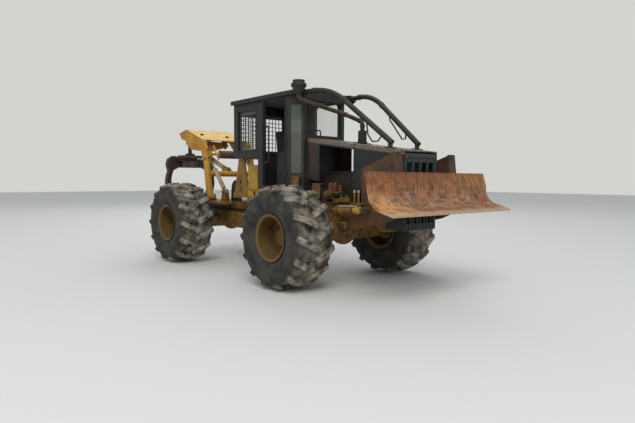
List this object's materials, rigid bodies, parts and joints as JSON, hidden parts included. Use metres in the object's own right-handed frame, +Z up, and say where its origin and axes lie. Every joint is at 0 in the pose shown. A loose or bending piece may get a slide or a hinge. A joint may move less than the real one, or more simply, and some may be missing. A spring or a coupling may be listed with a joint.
{
  "type": "articulated log skidder",
  "caption": "Articulated forestry skidder with a front dozer blade, open cab, tilting rear arch, boom and log grapple.",
  "frame": {"origin": "on the ground under the middle of the machine's length, on its centre line", "axes": "+X forward, towards the blade; +Y to the machine's left; +Z up"},
  "size_m": [7.922, 3.176, 3.3149],
  "materials": {
    "frame_yellow": "worn gloss",
    "charcoal_paint": "satin",
    "hood_rust": "rusted",
    "guard_teal": "rusted",
    "blade_rust": "rusted",
    "arm_rust": "rusted",
    "arch_yellow": "worn gloss",
    "barrel_cream": "worn gloss",
    "rod_steel": "polished",
    "engine_iron": "oily",
    "mesh_steel": "dull",
    "window_glass": "dusty",
    "seat_cover": "matte",
    "roller_red": "worn",
    "grapple_dark": "rusted",
    "tyre_rubber": "dusty",
    "rim_ochre": "worn"
  },
  "bodies": {
    "front_frame": {"front_frame": "frame_yellow", "front_axle": "frame_yellow", "engine": "engine_iron", "transmission": "engine_iron", "hood": "hood_rust", "radiator_guard": "guard_teal", "cab_shell": "charcoal_paint", "cab_roof": "charcoal_paint", "cab_guards": "mesh_steel", "cab_glass": "window_glass", "seat": "seat_cover", "console": "charcoal_paint", "limb_risers": "charcoal_paint", "intake_pipe": "hood_rust", "side_tanks": "frame_yellow", "side_steps": "frame_yellow"},
    "rear_frame": {"rear_frame": "frame_yellow", "rear_axle": "frame_yellow", "winch": "engine_iron"},
    "arch": {"arch_frame": "arch_yellow", "arch_head": "arch_yellow"},
    "arch_roller": {"arch_roller": "roller_red"},
    "arch_barrels": {"arch_barrels": "barrel_cream"},
    "arch_rods": {"arch_rods": "rod_steel"},
    "boom": {"boom": "arch_yellow"},
    "boom_barrel": {"boom_barrel": "barrel_cream"},
    "boom_rod": {"boom_rod": "rod_steel"},
    "swing_link": {"swing_link": "engine_iron"},
    "grapple": {"grapple_head": "engine_iron"},
    "tong_left": {"tong_left": "grapple_dark"},
    "tong_right": {"tong_right": "grapple_dark"},
    "tong_barrel": {"tong_barrel": "engine_iron"},
    "tong_rod": {"tong_rod": "rod_steel"},
    "blade": {"blade": "blade_rust", "blade_arms": "arm_rust"},
    "blade_barrels": {"blade_barrels": "frame_yellow"},
    "blade_rods": {"blade_rods": "rod_steel"},
    "steer_barrel_right": {"steer_barrel_right": "frame_yellow"},
    "steer_rod_right": {"steer_rod_right": "rod_steel"},
    "steer_barrel_left": {"steer_barrel_left": "frame_yellow"},
    "steer_rod_left": {"steer_rod_left": "rod_steel"},
    "wheel_front_right": {"tyre_front_right": "tyre_rubber", "rim_front_right": "rim_ochre"},
    "wheel_front_left": {"tyre_front_left": "tyre_rubber", "rim_front_left": "rim_ochre"},
    "wheel_rear_right": {"tyre_rear_right": "tyre_rubber", "rim_rear_right": "rim_ochre"},
    "wheel_rear_left": {"tyre_rear_left": "tyre_rubber", "rim_rear_left": "rim_ochre"}
  },
  "joints": [
    {"name": "articulation", "type": "hinge", "parent": "front_frame", "child": "rear_frame", "pos_m": [-0.121, 0, 1], "axis": [0, 0, 1], "range_deg": [-42, 42]},
    {"name": "wheel_front_right_turn", "type": "hinge", "parent": "front_frame", "child": "wheel_front_right", "pos_m": [1.664, -1.218, 0.805], "axis": [0, 1, 0], "continuous": true},
    {"name": "wheel_front_left_turn", "type": "hinge", "parent": "front_frame", "child": "wheel_front_left", "pos_m": [1.664, 1.218, 0.805], "axis": [0, 1, 0], "continuous": true},
    {"name": "wheel_rear_right_turn", "type": "hinge", "parent": "rear_frame", "child": "wheel_rear_right", "pos_m": [-1.906, -1.218, 0.805], "axis": [0, 1, 0], "continuous": true},
    {"name": "wheel_rear_left_turn", "type": "hinge", "parent": "rear_frame", "child": "wheel_rear_left", "pos_m": [-1.906, 1.218, 0.805], "axis": [0, 1, 0], "continuous": true},
    {"name": "blade_lift", "type": "hinge", "parent": "front_frame", "child": "blade", "pos_m": [2.364, 0, 1], "axis": [0, 1, 0], "range_deg": [-3, 46]},
    {"name": "blade_barrel_swing", "type": "hinge", "parent": "front_frame", "child": "blade_barrels", "pos_m": [2.224, 0, 1.222], "axis": [0, 1, 0], "range_deg": [-2.77, 35.33]},
    {"name": "blade_rod_slide", "type": "slide", "parent": "blade_barrels", "child": "blade_rods", "axis": [0.9985, 0, 0.0549], "range_m": [-0.012, 0.1558]},
    {"name": "arch_tilt", "type": "hinge", "parent": "rear_frame", "child": "arch", "pos_m": [-1.856, 0, 1.305], "axis": [0, -1, 0], "range_deg": [-6, 20]},
    {"name": "arch_barrel_swing", "type": "hinge", "parent": "rear_frame", "child": "arch_barrels", "pos_m": [-1.406, 0, 1.43], "axis": [0, -1, 0], "range_deg": [-4.96, 15.37]},
    {"name": "arch_rod_slide", "type": "slide", "parent": "arch_barrels", "child": "arch_rods", "axis": [-0.6705, 0, 0.7419], "range_m": [-0.0434, 0.1399]},
    {"name": "arch_roller_turn", "type": "hinge", "parent": "arch", "child": "arch_roller", "pos_m": [-1.886, 0, 2.215], "axis": [0, 1, 0], "continuous": true},
    {"name": "boom_lift", "type": "hinge", "parent": "arch", "child": "boom", "pos_m": [-2.506, 0, 2.45], "axis": [0, -1, 0], "range_deg": [0, 18]},
    {"name": "boom_barrel_swing", "type": "hinge", "parent": "arch", "child": "boom_barrel", "pos_m": [-2.121, 0, 1.905], "axis": [0, -1, 0], "range_deg": [-0.5, 7.83]},
    {"name": "boom_rod_slide", "type": "slide", "parent": "boom_barrel", "child": "boom_rod", "axis": [-0.937, 0, 0.3494], "range_m": [-0.1284, 0.002]},
    {"name": "link_swing", "type": "hinge", "parent": "boom", "child": "swing_link", "pos_m": [-3.836, 0, 2.58], "axis": [0, 1, 0], "range_deg": [-6, 38]},
    {"name": "grapple_turn", "type": "hinge", "parent": "swing_link", "child": "grapple", "pos_m": [-3.836, 0, 2.58], "axis": [0, 0, 1], "continuous": true},
    {"name": "tong_left_open", "type": "hinge", "parent": "grapple", "child": "tong_left", "pos_m": [-3.836, 0.17, 2.035], "axis": [1, 0, 0], "range_deg": [0, 40]},
    {"name": "tong_right_open", "type": "hinge", "parent": "grapple", "child": "tong_right", "pos_m": [-3.836, -0.17, 2.035], "axis": [-1, 0, 0], "range_deg": [0, 40]},
    {"name": "tong_barrel_swing", "type": "hinge", "parent": "tong_right", "child": "tong_barrel", "pos_m": [-3.836, -0.43, 2.17], "axis": [1, 0, 0], "range_deg": [0, 40]},
    {"name": "tong_rod_slide", "type": "slide", "parent": "tong_barrel", "child": "tong_rod", "axis": [0, 1, 0], "range_m": [-0.2745, 0.002]},
    {"name": "steer_barrel_right_swing", "type": "hinge", "parent": "front_frame", "child": "steer_barrel_right", "pos_m": [0.829, -0.25, 0.9], "axis": [0, 0, 1], "range_deg": [-1.72, 1.72]},
    {"name": "steer_rod_right_slide", "type": "slide", "parent": "steer_barrel_right", "child": "steer_rod_right", "axis": [-1, 0, 0], "range_m": [-0.1762, 0.1762]},
    {"name": "steer_barrel_left_swing", "type": "hinge", "parent": "front_frame", "child": "steer_barrel_left", "pos_m": [0.829, 0.25, 0.9], "axis": [0, 0, 1], "range_deg": [-1.72, 1.72]},
    {"name": "steer_rod_left_slide", "type": "slide", "parent": "steer_barrel_left", "child": "steer_rod_left", "axis": [-1, 0, 0], "range_m": [-0.1762, 0.1762]}
  ],
  "couplings": [
    {"joint": "blade_barrel_swing", "follows": "blade_lift", "ratio": 0.75722},
    {"joint": "blade_rod_slide", "follows": "blade_lift", "m_per_rad": 0.19152},
    {"joint": "arch_barrel_swing", "follows": "arch_tilt", "ratio": 0.74329},
    {"joint": "arch_rod_slide", "follows": "arch_tilt", "m_per_rad": 0.39498},
    {"joint": "boom_barrel_swing", "follows": "boom_lift", "ratio": 0.40717},
    {"joint": "boom_rod_slide", "follows": "boom_lift", "m_per_rad": -0.40233},
    {"joint": "tong_right_open", "follows": "tong_left_open", "ratio": 1},
    {"joint": "tong_barrel_swing", "follows": "tong_left_open", "ratio": 1},
    {"joint": "tong_rod_slide", "follows": "tong_left_open", "m_per_rad": -0.39039},
    {"joint": "steer_barrel_right_swing", "follows": "articulation", "ratio": 0.029159},
    {"joint": "steer_rod_right_slide", "follows": "articulation", "m_per_rad": -0.23767},
    {"joint": "steer_barrel_left_swing", "follows": "articulation", "ratio": 0.029159},
    {"joint": "steer_rod_left_slide", "follows": "articulation", "m_per_rad": 0.23767}
  ]
}
